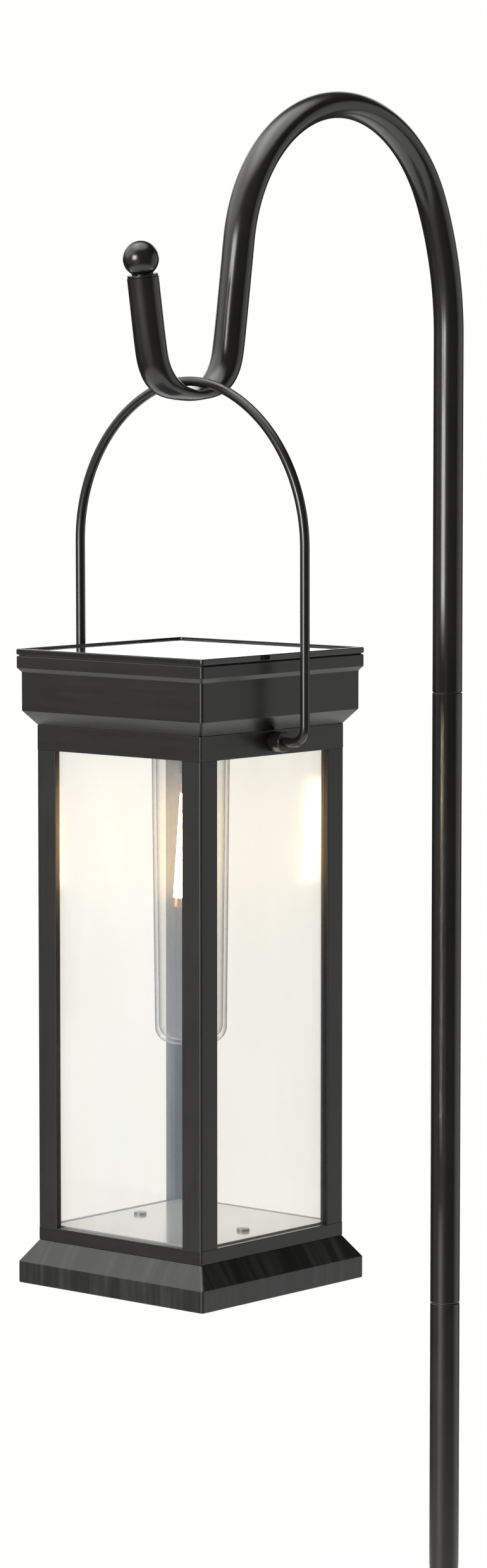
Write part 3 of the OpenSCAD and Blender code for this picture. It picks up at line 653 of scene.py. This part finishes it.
hazy = tube.add("ShaderNodeMixShader", {}, {0: tube.noise(25, (1, 1, 0.2))*0.02 + 0.01, 1: see_through, 2: bloom})
tube_shine = tube.add("ShaderNodeBsdfGlossy", {}, {"Roughness": (tube.noise(25, (1, 1, 0.2)) - 0.5)*0.02 + 0.08})
tube.surface(shader=tube.add("ShaderNodeMixShader", {}, {0: tube.glancing(0.035), 1: hazy, 2: tube_shine}))
print("glass:", pane_glass.name, cover_glass.name, tube.owner.name)

# %% [markdown]
# ## Lamp
# The light comes from one thick filament in a glass tube with a domed foot. The tube is drawn glass: it narrows a
# little downwards, and its foot is a quarter circle rather than a hemisphere. The filament is a rod of small diodes
# under a phosphor sleeve, and it hangs a few degrees out of true, as it does on the real lamp. A copper cap at each
# end carries the current. All of them are turned profiles, on the lantern's axis or on the leaning one.

# %% Make the tube, the filament and its caps
tube_low, tube_top, shoulder, tube_wall, foot_r, taper = 122.6, 282.5, 136.1, 2.0, 13.5, 0.0118
mouth_r = 19.9 - 0.5*taper
low_r = mouth_r - (tube_top - shoulder)*taper
outer = rounded([(0, tube_low), (low_r, tube_low), (mouth_r, tube_top)], [0, foot_r, 0], 20, False)[1:]
inner = rounded([(0, tube_low + tube_wall), (low_r - tube_wall, tube_low + tube_wall),
                 (mouth_r - tube_wall, tube_top)], [0, foot_r - tube_wall, 0], 20, False)[1:]
tube_line = np.concatenate([[(0.05, tube_low)], outer, inner[::-1], [(0.05, tube_low + tube_wall)]])
surface("lamp_tube", [lathe(tube_line, 72, lantern/MM)], tube.owner, "cap", "bulb_tube")

glow = Finish(bpy.data.materials.new("glowing_filament"))
height = glow.add("ShaderNodeSeparateXYZ", {}, {0: glow.coords()}, output=2)
die_pitch = 0.0024
rings = glow.add("ShaderNodeMath", {"operation": "SINE"}, {0: height*(2*math.pi/die_pitch)})
phosphor = glow.mix(rings*0.5 + 0.5, rgb(1.0, 0.60, 0.24), rgb(1.0, 0.72, 0.40))
glow_paint = glow.surface(Base_Color=rgb(0.9, 0.55, 0.2), Roughness=0.5, Emission_Color=phosphor,
                          Emission_Strength=75.0)
copper = Finish(bpy.data.materials.new("copper_caps"))
worn = copper.noise(900, (1, 1, 0.2))
copper_tone = copper.mix(worn, rgb(0.45, 0.24, 0.12), rgb(0.62, 0.36, 0.19))
copper_paint = copper.surface(Base_Color=copper_tone, Metallic=1.0, Roughness=worn*0.2 + 0.25)
stem_z, lean = 260.0, math.radians(5)
stem, hanging = lantern/MM + np.array([-1, 2, stem_z]), (0, -math.sin(lean), math.cos(lean))


def turned_rod(radius, low, high, edge):
    """A rod between two heights over the plinth, with rounded rims, hung from the holder's stem."""
    profile = [(0.05, low - stem_z), (radius, low - stem_z), (radius, high - stem_z), (0.05, high - stem_z)]
    return lathe(rounded(profile, [0, edge, edge, 0], 4), 32, stem, hanging)


surface("filament", [turned_rod(2.5, 196.1, 249.6, 0.5)], glow_paint, "cap", "led_filament", False)
surface("caps", [turned_rod(3.0, 191.3, 196.1, 0.5), turned_rod(3.0, 249.6, 263.9, 0.5)], copper_paint, "cap",
        "filament_caps", False)

# %% [markdown]
# ## Small carried-over pieces
# The rest are simple machined or moulded pieces whose CAD shape already shows what they are. They keep their place
# and their mesh and only get a finish: scratched steel, moulded plastic with a fine grain, enamel for the floor of the
# lantern, silicon cells with their collecting lines, green board with its tracks, and so on.

# %% Mix the finishes
def moulded(name, dark, pale, roughness, grain=900, depth=0.15):
    """Moulded plastic: a fine spark-eroded grain in the bump, and slow changes of tone and gloss."""
    resin = Finish(bpy.data.materials.new(name))
    fine, slow = resin.noise(grain, detail=2), resin.noise(45)
    return resin.surface(Base_Color=resin.mix(slow, rgb(*dark), rgb(*pale)), Roughness=(slow - 0.5)*0.12 + roughness,
                         Normal=resin.bump(fine, depth, 0.0001))


def machined(name, dark, pale, roughness, stretch, metallic=1.0):
    """Bare metal, or sheet with a thin coat at metallic 0, its tool marks drawn out along one axis."""
    metal = Finish(bpy.data.materials.new(name))
    marks = metal.noise(1400, stretch, 3)
    return metal.surface(Base_Color=metal.mix(marks, rgb(*dark), rgb(*pale)), Metallic=metallic,
                         Roughness=(marks - 0.5)*0.18 + roughness, Normal=metal.bump(marks, 0.15, 0.00005))


finishes = {"black_plastic": moulded("black_plastic_grain", (0.0050, 0.0047, 0.0042), (0.0110, 0.0104, 0.0094), 0.42),
            "grey_plastic": moulded("grey_plastic_grain", (0.030, 0.030, 0.029), (0.048, 0.048, 0.046), 0.5),
            "bright_steel": machined("bright_screw_steel", (0.50, 0.49, 0.47), (0.66, 0.65, 0.62), 0.28, (1, 1, 0.1)),
            "dark_steel": machined("dark_joiner_steel", (0.10, 0.10, 0.10), (0.20, 0.20, 0.195), 0.38, (1, 1, 0.05)),
            "pale_plate": machined("pale_floor_plate", (0.22, 0.22, 0.21), (0.32, 0.315, 0.30), 0.15, (0.06, 1, 1),
                                   metallic=0.0),
            "window_glass": pane_glass, "panel_glass": cover_glass,
            "chip_black": moulded("chip_epoxy", (0.010, 0.010, 0.010), (0.022, 0.022, 0.022), 0.5, 2500),
            "red_wire": moulded("red_insulation", (0.30, 0.010, 0.008), (0.45, 0.018, 0.014), 0.35),
            "battery_sleeve": moulded("battery_film", (0.02, 0.16, 0.06), (0.04, 0.26, 0.10), 0.25, 400, 0.05),
            "contact_brass": machined("nickelled_spring", (0.52, 0.44, 0.28), (0.70, 0.60, 0.40), 0.26, (1, 0.1, 1)),
            "gasket_rubber": moulded("foam_rubber", (0.010, 0.010, 0.010), (0.022, 0.022, 0.021), 0.8, 2200, 0.5),
            "switch_white": moulded("white_slider", (0.62, 0.62, 0.59), (0.72, 0.72, 0.69), 0.35)}
print(len(finishes), "finishes")

# %% [markdown]
# ## Solar cells and boards
# A cell is polished silicon, nearly black blue, crossed by two wide silver bars and many hair-thin fingers. Both are
# stripes: the distance to the nearest line, compared with half the line's width. The boards are green solder mask,
# lighter where a copper track runs under it, and the tracks are the edges of a square cell pattern.

# %% Mix the cell and board finishes
def stripes(coordinate, pitch, width):
    """1 on lines of the given pitch and width, 0 between them, all in metres."""
    wave = coordinate.math("PINGPONG", coordinate, pitch/2)
    return wave.math("LESS_THAN", wave, width/2)


cell = Finish(bpy.data.materials.new("silicon_cell"))
x = cell.add("ShaderNodeSeparateXYZ", {}, {0: cell.coords()}, output=0)
y = cell.add("ShaderNodeSeparateXYZ", {}, {0: cell.coords()}, output=1)
fingers, bars = stripes(x, 0.0021, 0.00018), stripes(y, 0.026, 0.0014)
lines = fingers.math("MAXIMUM", fingers, bars)
crystal = cell.add("ShaderNodeTexVoronoi", {}, {"Vector": cell.coords(), "Scale": 160}, output=1)
grain = cell.add("ShaderNodeSeparateXYZ", {}, {0: crystal})
blue = cell.mix(grain, rgb(0.004, 0.009, 0.030), rgb(0.010, 0.020, 0.055))
finishes["cell_blue"] = cell.surface(Base_Color=cell.mix(lines, blue, rgb(0.42, 0.43, 0.44)),
                                     Roughness=lines*0.15 + 0.16, Metallic=lines*0.8)
board = Finish(bpy.data.materials.new("solder_mask"))
tracks = board.add("ShaderNodeTexVoronoi", {"distance": "CHEBYCHEV", "feature": "F1"},
                   {"Vector": board.coords(), "Scale": 260})
ridge = board.add("ShaderNodeMapRange", {}, {0: tracks, 1: 0.35, 2: 0.42, 3: 0, 4: 1})
mask = board.mix(ridge, rgb(0.008, 0.075, 0.028), rgb(0.020, 0.150, 0.055))
finishes["green_board"] = board.surface(Base_Color=mask, Roughness=board.noise(90)*0.12 + 0.26,
                                        Normal=board.bump(ridge, 0.2, 0.00005))
print("cell and board mixed")

# %% [markdown]
# ## Hand out the finishes
# Each node's record names its material slot, so the finish follows from the slot. The pieces that were rebuilt above
# already carry theirs.

# %% Give every carried-over piece its finish
slots = {"black_plastic": ["ground_spike", "base_cover", "pane_beads", "lamp_holder", "battery_holder", "switch_body"],
         "grey_plastic": ["module_tray", "battery_door"],
         "bright_steel": ["bail_washers", "base_cover_screws", "tray_screws", "battery_door_screw", "filament_wires"],
         "dark_steel": ["lower_joiner", "upper_joiner", "floor_screws"], "pale_plate": ["floor_plate"],
         "window_glass": ["glass_pane_front", "glass_pane_back", "glass_pane_left", "glass_pane_right"],
         "panel_glass": ["panel_cover"], "cell_blue": ["solar_cells"], "green_board": ["cell_board", "circuit_board"],
         "chip_black": ["board_parts"], "red_wire": ["internal_wires"], "battery_sleeve": ["battery"],
         "contact_brass": ["battery_contacts"], "gasket_rubber": ["lid_gasket"], "switch_white": ["switch_slider"]}
for slot, names in slots.items():
    for name in names:
        nodes[name].data.materials.clear()
        nodes[name].data.materials.append(finishes[slot])
    print(slot, "on", ", ".join(names))

# %% [markdown]
# ## Size
# The new surfaces must stay inside the box of the CAD model.

# %% The CAD model's box
print("the CAD model's box is kept in cad_box")
